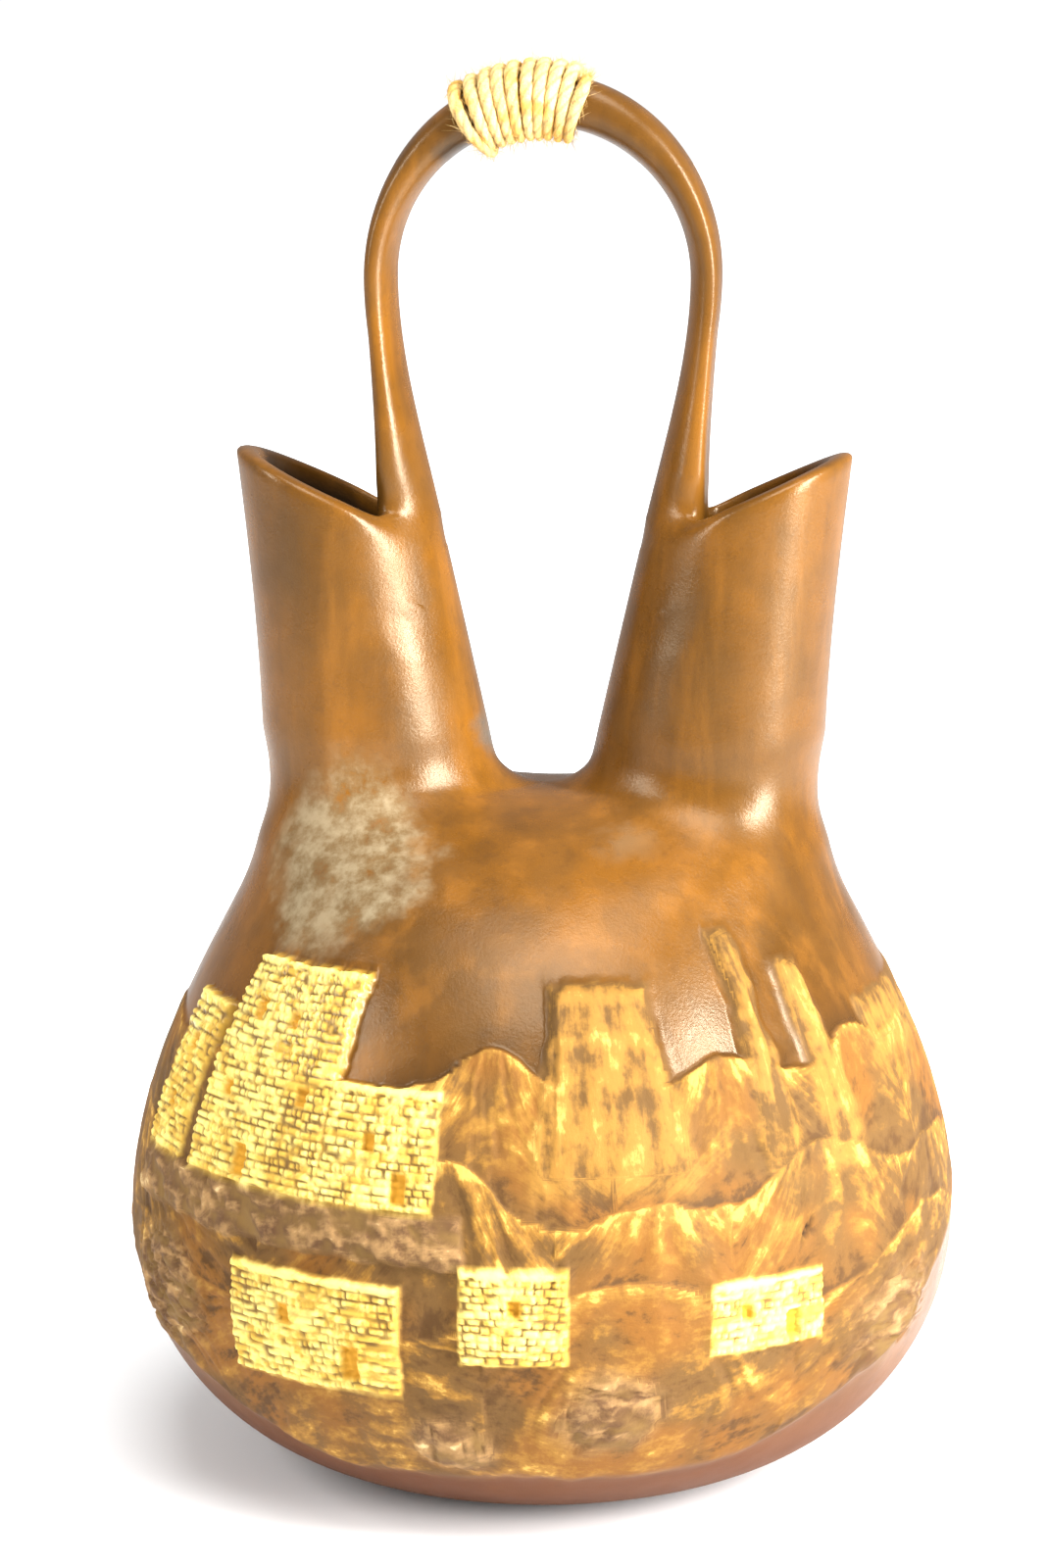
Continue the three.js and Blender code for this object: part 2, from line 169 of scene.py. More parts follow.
def ovalAt(z, inset):
    turn = mix(vase["bellyAt"], vase["waistAt"], 0.6)
    k = mix(1, vase["depthRatio"], smooth((z - turn) / (vase["waistAt"] - turn)))
    outer = reach(z, inset) ** 2
    solid = z < vase["waistAt"] - inset
    inner = np.where(solid, -((dome(z, inset) / k) ** 2), throat(z, inset) ** 2)
    return k, (outer + inner) / 2, ((outer - inner) / 2) ** 2


def halfDepth(x, z, inset):
    k, focus, size = ovalAt(z, inset)
    lobe = np.sqrt(np.maximum(0, 4 * x * x * focus + size)) - x * x - focus
    return k * np.sqrt(np.maximum(0, lobe))


def skinNormal(x, y, z):
    def field(px, py, pz):
        k, focus, size = ovalAt(pz, 0)
        return (px * px + (py / k) ** 2 + focus) ** 2 - 4 * px * px * focus - size

    h = 0.05 * mm
    slopes = [
        field(x + h, y, z) - field(x - h, y, z),
        field(x, y + h, z) - field(x, y - h, z),
        field(x, y, z + h) - field(x, y, z - h),
    ]
    normal = np.stack(slopes, -1)
    return normal / np.maximum(np.linalg.norm(normal, axis=-1, keepdims=True), 1e-30)


# repeatable roughness: values on a lattice, eased between
def lattice(ix, iy, seed):
    value = np.sin(ix * 127.1 + iy * 311.7 + seed * 74.7) * 43758.5453
    return value - np.floor(value)


def grain(x, y, seed):
    ix, iy = np.floor(x), np.floor(y)
    fx, fy = smooth(x - ix), smooth(y - iy)
    low = mix(lattice(ix, iy, seed), lattice(ix + 1, iy, seed), fx)
    high = mix(lattice(ix, iy + 1, seed), lattice(ix + 1, iy + 1, seed), fx)
    return mix(low, high, fy) * 2 - 1


def layered(x, y, seed, layers=3):
    total = 0
    for n in range(layers):
        total = total + grain(x * 2**n, y * 2**n, seed + n * 17) / 2**n
    return total / 1.6


def blockFrom(*row):
    return dict(zip(("from", "to", "foot", "top", "raise", "lean"), row))


# the landscape: angles in degrees round from the front, levels as shares of the waist's height
rocks = [
    blockFrom(64, 120, 0.62, 0.73, 0.4 * mm, 3),
    blockFrom(2, 27, 0.515, 0.8, 0.9 * mm, 4),
    blockFrom(37, 44, 0.515, 0.85, 0.9 * mm, 1.5),
    blockFrom(48, 57, 0.515, 0.8, 0.7 * mm, 2.2),
]
# three ranges of hills from far to near; each peak has its angle, extra level and spread
ranges = [
    {
        "level": 0.67,
        "step": 0,
        "peaks": [(-3, 0.06, 8), (33, 0.035, 9), (61, 0.04, 7), (88, 0.03, 14), (-84, 0.01, 12)],
    },
    {
        "level": 0.5,
        "step": 0.3 * mm,
        "peaks": [(-9, 0.09, 9), (20, 0.03, 8), (47, 0.08, 13), (76, 0.03, 12), (-78, 0.06, 14)],
    },
    {
        "level": 0.36,
        "step": 0.6 * mm,
        "peaks": [(16, 0.07, 14), (70, 0.09, 17), (-66, 0.06, 12), (-22, -0.03, 14)],
    },
]
houses = [
    blockFrom(-67, -55, 0.515, 0.73, 1.1 * mm),
    blockFrom(-52, -27, 0.515, 0.8, 1.7 * mm),
    blockFrom(-27, -10, 0.515, 0.67, 1.2 * mm),
    blockFrom(-40, -14, 0.26, 0.415, 1.6 * mm),
    blockFrom(-6, 8, 0.315, 0.445, 1.6 * mm),
    blockFrom(27, 44, 0.315, 0.415, 1.2 * mm),
]
ledge = blockFrom(-67, -6, 0.445, 0.515, 1.3 * mm)
# middle, level, half width and half height in millimetres: windows, slots and doors
openings = [
    (-61, 0.665, 1.1, 1.5),
    (-62, 0.585, 1.0, 1.3),
    (-46, 0.735, 1.3, 1.9),
    (-38, 0.73, 1.1, 1.4),
    (-32, 0.64, 1.2, 1.6),
    (-47, 0.63, 1.1, 1.4),
    (-41, 0.545, 1.6, 3.0),
    (-20, 0.6, 1.2, 1.6),
    (-15, 0.545, 1.5, 2.8),
    (-31, 0.355, 1.3, 1.8),
    (-21, 0.3, 1.7, 3.2),
    (1, 0.395, 1.2, 1.5),
    (32, 0.37, 1.1, 1.4),
    (39, 0.345, 1.5, 2.6),
]
# middle, level, spread and lift
boulders = [
    (-56, 0.33, 0.12, 1.8 * mm),
    (-8, 0.19, 0.07, 2.0 * mm),
    (14, 0.24, 0.09, 2.1 * mm),
    (60, 0.3, 0.12, 1.3 * mm),
]
# loose slopes below the rocks: middle and half width
spills = [(14, 24), (41, 12), (52, 12)]
# a short slanting gouge in the plain, by its place round the belly and its height
gouge = {
    "across": 60.5 * mm,
    "z": 64 * mm,
    "slant": 0.8,
    "wide": 0.7 * mm,
    "high": 1.9 * mm,
    "depth": 1.4 * mm,
}
relief = {
    "fadeFrom": 96,
    "fade": 20,
    "lowerFrom": 58,
    "lowerOver": 26,
    "lowerBy": 0.72,
    "bevel": 1 * mm,
    "softBevel": 3.8 * mm,
    "course": 1.5 * mm,
    "brick": 2.25 * mm,
    "joint": 0.3 * mm,
    "row": 0.43 * mm,
    "fine": 0.46 * mm,
    "coarse": 1.6 * mm,
    "coarseRow": 1.28 * mm,
    "lowest": 0.08,
    "stoneLevels": [(0.26, 0.415), (0.415, 0.445), (0.515, 0.8)],
}


def inside(*margins, bevel=relief["bevel"]):
    return smooth(0.5 + np.minimum.reduce(np.broadcast_arrays(*margins)) / bevel)


def blockShare(block, angle, level, radius, ragged=0):
    perDegree = math.pi / 180 * radius
    high = vase["waistAt"]
    up = np.clip((level - block["foot"]) / (block["top"] - block["foot"]), 0, 1)
    lean = block.get("lean", 0)
    shift = lean * (1 - (1 - up) ** 1.6)
    share = inside(
        (angle - block["from"] - shift) * perDegree + ragged,
        (block["to"] - shift - angle) * perDegree + ragged,
        (level - block["foot"]) * high + ragged * 0.5,
        (block["top"] - level) * high + ragged,
        bevel=relief["softBevel" if lean else "bevel"],
    )
    return share * smooth((level - block["foot"]) * high / (16 * mm) + 0.05) if lean else share


# bricks laid in courses from each foot, with upright joints that differ in every course
def masonry(across, z, foot, seed):
    wander = grain(across / (6 * mm), z / (8 * mm), seed + 2)
    z = z + 0.42 * mm * wander + 0.16 * mm * grain(across / (1.9 * mm), z / (3 * mm), seed + 3)
    course = np.floor((z - foot) / relief["course"] + 0.5 * relief["joint"] / relief["course"])
    beds = (z - foot) / relief["course"]
    bedGap = np.abs(beds - np.round(beds)) * relief["course"]
    shift = lattice(course, course * 0 + 3, seed) * 3
    stretch = 1 + 0.35 * grain(across / (9 * mm), course * 1.7, seed + 5)
    run = across / relief["brick"] * stretch + shift
    jointGap = np.abs(run - np.round(run)) * relief["brick"]
    gap = np.minimum(bedGap, jointGap)
    stone = np.floor(run + 0.5)
    lift = (lattice(stone, course, seed + 9) - 0.5) * 0.42 * mm
    worn = 0.12 * mm * grain(across / (2.3 * mm), z / (1.3 * mm), seed + 4)
    groove = 1 - smooth((gap - 0.1 * mm - worn) / relief["joint"])
    return groove, lift


# new ways for the brush strokes where a share is more than half
def turned(strokes, share, ways):
    return [np.where(share > 0.5, new, old) for new, old in zip(ways, strokes)]


def carving(angle, z):
    radius = np.maximum(reach(z, 0), 20 * mm)
    high = vase["waistAt"]
    across = np.radians(angle) * vase["belly"]
    level = z / high
    u, w = across / mm, z / mm
    fade = 1 - smooth((np.abs(angle) - relief["fadeFrom"]) / relief["fade"])
    foot = 0.1 + 0.3 * smooth((np.abs(angle) - 25) / 75) + 0.012 * layered(u / 13, 1, 8)
    ground = smooth((level - foot) / 0.04)
    earth = np.zeros_like(angle + z)
    height = np.zeros_like(earth)
    fine = np.zeros_like(earth)
    # brush strokes run along one of these and change quickly across the other
    strokes = (u + earth, w + earth)
    brush = layered((u + 2.2 * w) / 26, (w - 0.3 * u) / 3.4, 33)
    scrub = layered(u / 1.5, w / 1.9, 37, 2)
    for n, hills in enumerate(ranges):
        ridge = hills["level"] + 0.008 * layered(u / 7, 3, 4 + n)
        lean = np.zeros_like(earth)
        nearest = np.full_like(earth, 1e9)
        for middle, rise, spread in hills["peaks"]:
            ridge = ridge + rise * np.exp(-(((angle - middle) / spread) ** 2))
            away = (angle - middle) / spread
            lean = np.where(np.abs(away) < nearest, (angle - middle) * 1.44, lean)
            nearest = np.minimum(nearest, np.abs(away))
        depth = np.maximum(0, ridge - level) * high / mm
        cover = inside((ridge - level) * high)
        # gullies fan out from the nearest peak and wander as they go down
        fan = lean / (7 + depth) * 9 + 1.3 * grain(u / 12, w / 12, 40 + n)
        gully = layered(fan / 1.3, depth / 15, 21 + n)
        spur = layered(fan / 4.2, depth / 30, 27 + n, 2)
        # painted highlight: the colour is lighter along each ridge's crown
        ridgeHighlight = np.exp(-depth / 2.4)
        look = 0.5 + 0.26 * gully + 0.3 * spur + 0.2 * brush + 0.12 * scrub + 0.4 * ridgeHighlight
        face = 0.42 * mm * gully + 0.7 * mm * spur + 0.12 * mm * brush + 0.09 * mm * scrub
        if n == 0:
            soot = np.exp(-np.maximum(0, level - ridge) * high / (8 * mm))
            soot = soot * (1 - cover) * smooth((0.88 - level) / 0.06)
        else:
            # painted shadow: the colour is darker just above the ridges of the two nearer ranges
            shade = np.exp(-np.maximum(0, level - ridge) * high / (2.6 * mm))
            fine = fine - 0.34 * shade * (1 - cover)
        step = vase["landRaise"] + hills["step"] + face * smooth(depth / 3)
        height = mix(height, step, cover)
        fine = mix(fine, look, cover)
        earth = np.maximum(earth, cover)
        tilt = 0.95 * np.tanh(lean / 14)
        downhill = (lean - tilt * depth, depth + 0.2 * u)
        flat = (w + 0.22 * u * np.cos(u / 30), u)
        strokes = turned(strokes, cover, downhill if n < 2 else flat)
    earth = earth * ground
    height = height * ground

    dark = np.zeros_like(height)
    for middle, at, spread, lift in boulders:
        sideways = np.radians(angle - middle) * radius / high
        away = np.hypot(sideways * 0.8, level - at) / spread
        away = away + 0.16 * layered(u / 6, w / 6, 50)
        swell = smooth(1 - away)
        height = height + lift * swell
        cracks = np.abs(layered(u / 4.2 + w / 9, w / 3.1, 60))
        height = height - 0.9 * mm * smooth(swell * 2) * (1 - smooth(cracks / 0.16))
        dark = np.maximum(dark, smooth(swell * 1.6))

    cliff = np.zeros_like(height)
    for n, block in enumerate(rocks):
        ragged = 1.5 * mm * layered(u / 5, w / 6, 70 + n)
        share = blockShare(block, angle, level, radius, ragged)
        flutes = layered(u / 1.5 + 0.4 * grain(w / 9, 0 * w, 80), w / 14, 81 + n)
        beds = grain(0 * u + n, w / 2.4 + 0.3 * grain(u / 8, 0 * u, 84), 85)
        face = vase["landRaise"] + block["raise"] + 0.38 * mm * flutes + 0.16 * mm * beds
        height = mix(height, face, share)
        look = 0.5 + 0.4 * flutes + 0.16 * beds + 0.2 * layered(u / 9, w / 9, 88 + n)
        fine = mix(fine, look, share)
        cliff = np.maximum(cliff, smooth(share * 3))
        strokes = turned(strokes, share, (u + 0.06 * w, w))
    for middle, wide in spills:
        spill = smooth(1 - np.abs(angle - middle) / (wide * (1.25 - level * 0.6)))
        spill = spill * smooth((0.6 - level) / 0.12) * smooth((level - 0.4) / 0.1)
        height = height + 0.5 * mm * spill * (0.8 + 0.3 * gully)
        fine = fine + 0.16 * spill

    ragged = 1.7 * mm * layered(u / 4, w / 3, 90)
    share = blockShare(ledge, angle, level, radius, ragged)
    crags = layered(u / 3.8 + w / 9, w / 1.7, 92)
    crags = crags + 0.5 * np.abs(layered(u / 2.4, w / 2.0 + u / 9, 95)) - 0.2
    height = mix(height, vase["landRaise"] + ledge["raise"] + 0.9 * mm * crags, share)
    dark = np.maximum(dark * (1 - share), share)
    fine = mix(fine, 0.5 + 0.6 * crags, dark)
    strokes = turned(strokes, dark, (w - 0.2 * u + 1.6 * grain(u / 4, w / 3, 97), u))

    stone = np.zeros_like(height)
    joint = np.zeros_like(height)
    for n, block in enumerate(houses):
        settle = 0.5 * mm * layered(u / 2.1, w / 2.1, 100 + n)
        share = blockShare(block, angle, level, radius, settle)
        groove, lift = masonry(across, z, block["foot"] * high, 7 * n)
        # a smooth coping along the top
        cap = (level - block["top"]) * high / (0.5 * mm)
        cap = smooth(cap + 3.2 + settle / (0.4 * mm))
        groove, lift = groove * (1 - cap), mix(lift, 0.25 * mm, cap)
        face = vase["landRaise"] + block["raise"] + lift - 0.5 * mm * groove
        height = mix(height, face, share)
        stone = np.maximum(stone * (1 - share), share)
        # the wall turns a corner two thirds along, and its far side is in shade
        shaded = smooth((angle - mix(block["from"], block["to"], 0.66)) / 1.2)
        # painted highlight: stones that stand out, and the coping along the top, are lighter
        look = 0.78 + lift / (0.7 * mm) - 0.3 * shaded + 0.25 * layered(u / 8, w / 8, 130)
        fine = mix(fine, look, share)
        joint = mix(joint, groove, share)
        dark = dark * (1 - share)
        cliff = cliff * (1 - share)

    hole = np.zeros_like(height)
    for middle, at, halfWide, halfHigh in openings:
        sideways = halfWide * mm - np.radians(np.abs(angle - middle)) * radius
        upright = halfHigh * mm - np.abs(level - at) * high
        hole = np.maximum(hole, np.clip(0.5 + np.minimum(sideways, upright) / (0.5 * mm), 0, 1))
    height = height - 1.15 * mm * hole
    # towards the sides the relief gets lower, so the outline stays smooth
    lowered = smooth((np.abs(angle) - relief["lowerFrom"]) / relief["lowerOver"])
    height = height * (1 - relief["lowerBy"] * lowered)
    above = z - gouge["z"]
    beside = across - gouge["across"] - above * gouge["slant"]
    slit = np.hypot(beside / gouge["wide"], above / gouge["high"])
    height = height - gouge["depth"] * smooth(1.4 - slit)

    broken = 0.9 * grain(u / 2.1, w / 1.2, 120) + 0.4 * grain(u / 14, w / 14, 121)
    broken = smooth(0.62 + broken)
    crevice = np.clip(joint * (0.25 + 0.75 * broken) * stone, 0, 1) * (1 - hole)
    # painted shade: the ledge's deepest crags take the joints' dark colour
    crevice = np.maximum(crevice, dark * smooth(-crags * 1.6 + 0.1))
    masks = {
        "earth": earth * fade,
        "stone": stone * fade,
        "cliff": cliff * fade,
        "dark": dark * fade * np.maximum(earth, smooth(height / mm)),
        "crevice": crevice * fade,
        "hole": hole * fade,
        # the gouge's mask is painted near black: painted shade in the cut
        "gouge": smooth(1.5 - slit),
        "soot": soot * fade * (1 - np.maximum(stone, cliff)),
        "fine": np.clip(fine, 0, 1),
        "inner": np.zeros_like(height),
        "across": strokes[0] * mm,
        "along": strokes[1] * mm,
    }
    return height * fade, masks


maskNames = ["earth", "stone", "cliff", "dark", "crevice", "hole"]
maskNames += ["gouge", "soot", "fine", "inner", "across", "along"]


def addMasks(bm, names=maskNames):
    for name in names:
        bm.verts.layers.float.new(name)


# a flat lattice laid over the surface: rows go up and marks go from the middle to the side
def laySheet(bm, points, masks=(), flip=False):
    rows, columns = points.shape[:2]
    made = bmesh.ops.create_grid(bm, x_segments=columns - 1, y_segments=rows - 1, size=1)["verts"]
    layers = [(bm.verts.layers.float[name], mask) for name, mask in dict(masks).items()]
    for vert in made:
        column = round((vert.co.x + 1) / 2 * (columns - 1))
        row = round((vert.co.y + 1) / 2 * (rows - 1))
        vert.co = points[row, column]
        for layer, mask in layers:
            vert[layer] = mask[row, column]
    if flip:
        faces = {face for vert in made for face in vert.link_faces}
        bmesh.ops.reverse_faces(bm, faces=list(faces))
    return made


def sheetPoints(rows, marks, side, face, carved):
    inner, outer, spread, inset, lift = (np.array(column)[:, None] for column in zip(*rows))
    t = np.array(marks)[None, :]
    turn = math.pi / 2 * t
    z = mix(inner, outer, np.sin(turn) ** 2)
    lobed = z >= vase["waistAt"] - inset - 1e-9
    start = np.where(lobed, throat(z, inset), 0)
    across = mix(np.sin(turn), np.sin(turn) ** 2, spread)
    x = mix(start, reach(z, inset), across)
    y = face * halfDepth(x, z, inset)
    y = np.where((t == 1) | ((t == 0) & lobed), 0, y)
    x = side * x
    points = np.stack([x, y, z + lift], -1)
    if not carved:
        masks = {name: np.zeros_like(z + x) for name in maskNames}
        # the inner mask marks the cavity's walls below the rim, which are painted near black: painted
        # shade inside the mouths
        rim = rimRow(0)[0] + vase["rimSlope"] * (np.abs(x) - 22 * mm)
        below = smooth((rim + 2.2 * mm - z) / (3.5 * mm))
        masks["inner"] = np.where(inset >= vase["wall"], below, 0) + 0 * x
        return points, masks
    angle = np.degrees(np.arctan2(x, -y))
    height, masks = carving(angle, z)
    height = np.where(z < vase["fanStart"] * vase["waistAt"], height, 0)
    points = points + skinNormal(x, y, z) * height[..., None]
    if face < 0:
        points[..., 0] = np.where(t == 0, 0, points[..., 0])
    return points, masks


def lipOf(inset):
    return vase["innerLip"] if inset > 0 else vase["outerLip"]


def rimRow(inset):
    outer = vase["tipAt"] - lipOf(inset)[1] - vase["rimSlope"] * inset
    inner = outer
    for _ in range(12):
        inner = outer - vase["rimSlope"] * float(reach(outer, inset) - throat(inner, inset))
    return inner, outer


def neckRows(inset, fanCount, neckCount):
    crest = vase["waistAt"] - inset
    start = vase["fanStart"] * crest
    turn = math.acos((start - vase["bellyAt"]) / (crest - vase["bellyAt"]))
    rows = []
    for i in range(fanCount + 1):
        share = i / fanCount
        inner = vase["bellyAt"] + (crest - vase["bellyAt"]) * math.cos(turn * (1 - share))
        rows.append((inner, mix(start, crest, share), eased(share), inset, 0))
    rows[-1] = (crest, crest, 1, inset, 0)
    rimInner, rimOuter = rimRow(inset)
    for i in range(1, neckCount + 1):
        share = i / neckCount
        rows.append((mix(crest, rimInner, share**1.3), mix(crest, rimOuter, share), 1, inset, 0))
    return rows


def lipRows(inset, towards, steps):
    inner, outer = rimRow(inset)
    width, drop = lipOf(inset)
    rows = []
    for i in range(1, steps + 1):
        turn = math.pi / 2 * i / steps
        shift = towards * width * (1 - math.cos(turn))
        slide = vase["rimSlope"] * shift
        rows.append((inner + slide, outer - slide, 1, inset + shift, drop * math.sin(turn)))
    return rows


# marks from low to high: fine where a span asks for it, coarse elsewhere
def marksOver(low, high, spans, fine, coarse):
    stops = sorted({low, high, *(s for span in spans for s in span if low < s < high)})
    marks = [low]
    for a, b in zip(stops, stops[1:]):
        middle = (a + b) / 2
        step = fine if any(s[0] <= middle <= s[1] for s in spans) else coarse
        count = max(1, math.ceil((b - a) / step - 1e-6))
        marks += [mix(a, b, (n + 1) / count) for n in range(count)]
    return marks


def levelRows(heights, inset):
    return [(z, z, 0, inset, 0) for z in heights]


def pictureHeights():
    high = vase["waistAt"]
    quick = 1
    spans = [(low * high, top * high) for low, top in relief["stoneLevels"]]
    fine, coarse = relief["row"] * quick, relief["coarseRow"] * quick
    return marksOver(relief["lowest"] * high, vase["fanStart"] * high, spans, fine, coarse)


def pictureMarks(side):
    quick = 1
    perUnit = vase["belly"] * math.pi / 2
    spans = []
    for block in houses:
        ends = sorted((side * block["from"] / 90, side * block["to"] / 90))
        spans.append((ends[0] - 0.004, ends[1] + 0.004))
    merged = []
    for low, top in sorted(spans):
        if merged and low <= merged[-1][1]:
            merged[-1] = (merged[-1][0], max(top, merged[-1][1]))
        else:
            merged.append((low, top))
    merged = [span for span in merged if span[1] > 0]
    fine, coarse = relief["fine"] / perUnit * quick, relief["coarse"] / perUnit * quick
    return marksOver(0.0, 1.0, merged, fine, coarse)


def evenMarks(count):
    return [i / count for i in range(count + 1)]


# four quarters of a skin, then their seams are closed
def layQuarters(bm, rows, marksFor, carved=False, flip=False):
    for side in (-1, 1):
        for face in (-1, 1):
            points, masks = sheetPoints(rows, marksFor(side, face), side, face, carved)
            laySheet(bm, points, masks, flip=(side * face > 0) != flip)


# the open edges whose points all pass a test
def openEdges(bm, test):
    return [e for e in bm.edges if e.is_boundary and all(test(v.co) for v in e.verts)]


def fillAt(bm, test):
    bmesh.ops.edgeloop_fill(bm, edges=openEdges(bm, test))


def makeShell():
    bm = bmesh.new()
    addMasks(bm)
    high = vase["waistAt"]
    picture = pictureHeights()
    frontAndBack = lambda side, face: pictureMarks(side) if face < 0 else backMarks()
    layQuarters(bm, levelRows(picture, 0), frontAndBack, carved=True)

    lowest = picture[0]
    gap = 0.9 * mm
    heelTurns = np.linspace(0, math.acos(1 - (lowest - gap) / vase["bellyAt"]), 14)
    heel = [vase["bellyAt"] * (1 - math.cos(turn)) for turn in heelTurns]
    layQuarters(bm, levelRows(heel, 0), lambda side, face: evenMarks(30))

    upper = neckRows(0, 12, 34)[1:] + lipRows(0, 1, 5)
    layQuarters(bm, upper, lambda side, face: evenMarks(30))

    wall = vase["wall"]
    bowl = mix(vase["bellyAt"], vase["floor"], np.cos(np.linspace(0, math.pi / 2, 12)))
    shoulder = np.linspace(vase["bellyAt"], vase["fanStart"] * (high - wall), 16)[1:-1]
    inner = levelRows([*bowl, *shoulder], wall) + neckRows(wall, 8, 18) + lipRows(wall, -1, 5)
    layQuarters(bm, inner, lambda side, face: evenMarks(24), flip=True)
    bmesh.ops.remove_doubles(bm, verts=bm.verts, dist=1e-6)
    print("shell sheets", len(bm.faces))

    bridgeAt(bm, lambda co: abs(co.z - picture[0]) < 1e-5, lambda co: abs(co.z - heel[-1]) < 1e-5)
    fanInner, fanOuter = upper[0][:2]
    above = lambda co: fanOuter - 1e-5 <= co.z <= fanInner + 1e-5 and co.z > picture[-1] + 1e-5
    bridgeAt(bm, lambda co: abs(co.z - picture[-1]) < 1e-5, above)
    bridgeRims(bm)
    for level in (0, vase["floor"]):
        fillAt(bm, lambda co: abs(co.z - level) < 1e-5)
    # the rims were cut a little higher in front than behind
    for vert in bm.verts:
        raised = eased((vert.co.z - vase["tiltFrom"]) / vase["tiltOver"])
        vert.co.z -= vase["rimTilt"] * vert.co.y * raised
    loose = [e for e in bm.edges if not e.is_manifold]
    print("shell faces", len(bm.faces), "open edges", len(loose))
    return bm


def backMarks():
    count = 26
    return [1 - (1 - i / count) ** 1.25 for i in range(count + 1)]


def bridgeAt(bm, isLow, isHigh):
    bmesh.ops.bridge_loops(bm, edges=openEdges(bm, isLow) + openEdges(bm, isHigh))


# the flat land on each rim, between the outside's lip and the cavity's
def bridgeRims(bm):
    for side in (-1, 1):
        above = lambda co: co.z > vase["tiltFrom"] and co.x * side > 0
        bmesh.ops.bridge_loops(bm, edges=openEdges(bm, above))


# the handle's middle line, its sections and the ring of points round it
handle = {
    "rootSink": 10 * mm,
    "rootCover": 0.4 * mm,
    "springAt": 238 * mm,
    "halfSpan": 31.7 * mm,
    "rise": 34.2 * mm,
    "root": (3.2 * mm, 24 * mm, 28),
    "strap": (6 * mm, 18 * mm, 14),
    "grip": (10.2 * mm, 11 * mm, 0),
    "flare": 7 * mm,
    "bulge": 8.2 * mm,
    "bulgeRise": 44 * mm,
}


def archPoint(share):
    turn = math.pi / 2 * share
    return handle["halfSpan"] * math.cos(turn), handle["springAt"] + handle["rise"] * math.sin(turn)


def blendSection(a, b, t):
    return tuple(mix(p, q, float(t)) for p, q in zip(a, b))


def sectionRing(point, outward, section, count, swell=0):
    thickness, width, curl = section
    turn = 2 * math.pi * np.arange(count) / count
    shaped = lambda v: np.sign(v) * np.abs(v) ** 0.85
    across = shaped(np.cos(turn)) * (width / 2 + swell)
    out = shaped(np.sin(turn)) * (thickness / 2 + swell) + curl * across**2
    x = point[0] + outward[0] * out
    z = point[1] + outward[1] * out
    return np.stack([x, across, z], -1)


def outwardsOf(line):
    pairs = []
    for i in range(len(line)):
        before, after = line[max(0, i - 1)], line[min(len(line) - 1, i + 1)]
        dx, dz = after[1] - before[1], before[0] - after[0]
        size = math.hypot(dx, dz)
        pairs.append((dx / size, dz / size))
    return pairs


# the root's middle line and plain section at a height
def rootSpine(z):
    foot = rimRow(0)[0] - handle["rootSink"]
    under = handle["rootCover"]
    lean = vase["forkSpread"] - 2 * under / handle["rootSink"]
    start = (foot, float(throat(foot, 0)) + under + handle["root"][0] / 2, lean)
    end = (handle["springAt"], handle["halfSpan"], 0)
    share = (z - foot) / (handle["springAt"] - foot)
    section = blendSection(handle["root"], handle["strap"], smooth(share))
    return float(hermite(start, end, np.clip(z, foot, handle["springAt"]))), section


def makeHandle():
    rimInner = rimRow(0)[0]
    foot = rimInner - handle["rootSink"]
    right = []
    for i in range(56):
        z = mix(foot, handle["springAt"], i / 56)
        spine, (thickness, width, curl) = rootSpine(z)
        width += handle["flare"] * (1 - eased((z - rimInner) / (12 * mm)))
        near = min(1, max(0, (rimInner + handle["bulgeRise"] - z) / (handle["bulgeRise"] - 6 * mm)))
        bulge = handle["bulge"] * near**1.5 * eased((z - foot) / (16 * mm))
        right.append(((spine + bulge / 2, z), (thickness + bulge, width, curl)))
    for i in range(41):
        share = i / 40
        section = blendSection(handle["strap"], handle["grip"], smooth(share))
        right.append((archPoint(share), section))
    line = right + [((-point[0], point[1]), section) for point, section in right[-2::-1]]
    outwards = outwardsOf([point for point, _ in line])
    count = 32
    pairs = zip(line, outwards)
    rings = [sectionRing(point, out, section, count) for (point, section), out in pairs]
    points = np.array([np.concatenate([ring, ring[:1]]) for ring in rings])
    bm = bmesh.new()
    addMasks(bm)
    laySheet(bm, points, flip=True)
    bmesh.ops.remove_doubles(bm, verts=bm.verts, dist=1e-7)
    for low in (True, False):
        fillAt(bm, lambda co: (co.x > 0) == low)
    bmesh.ops.recalc_face_normals(bm, faces=bm.faces)
    return bm


def objectFrom(bm, name):
    data = bpy.data.meshes.new(name)
    bm.to_mesh(data)
    for polygon in data.polygons:
        polygon.use_smooth = True
    piece = bpy.data.objects.new(name, data)
    bpy.context.collection.objects.link(piece)
    return piece


def applyModifiers(piece):
    graph = bpy.context.evaluated_depsgraph_get()
    data = bpy.data.meshes.new_from_object(piece.evaluated_get(graph))
    piece.modifiers.clear()
    piece.data = data


# moves points towards their neighbours' middle, each by its own share
def relax(bm, shares, passes):
    bm.verts.index_update()
    chosen = {v.index for v in bm.verts if shares[v.index] > 0}
    near = [e for e in bm.edges if any(v.index in chosen for v in e.verts)]
    pairs = np.array([[v.index for v in e.verts] for e in near])
    spots = np.array([v.co for v in bm.verts])
    count = np.zeros(len(spots))
    np.add.at(count, pairs[:, 0], 1)
    np.add.at(count, pairs[:, 1], 1)
    count = np.maximum(count, 1)[:, None]
    shares = np.asarray(shares)[:, None]
    for _ in range(passes):
        total = np.zeros_like(spots)
        np.add.at(total, pairs[:, 0], spots[pairs[:, 1]])
        np.add.at(total, pairs[:, 1], spots[pairs[:, 0]])
        spots = np.where(shares > 0, mix(spots, total / count, shares), spots)
    for index in chosen:
        bm.verts[index].co = spots[index]


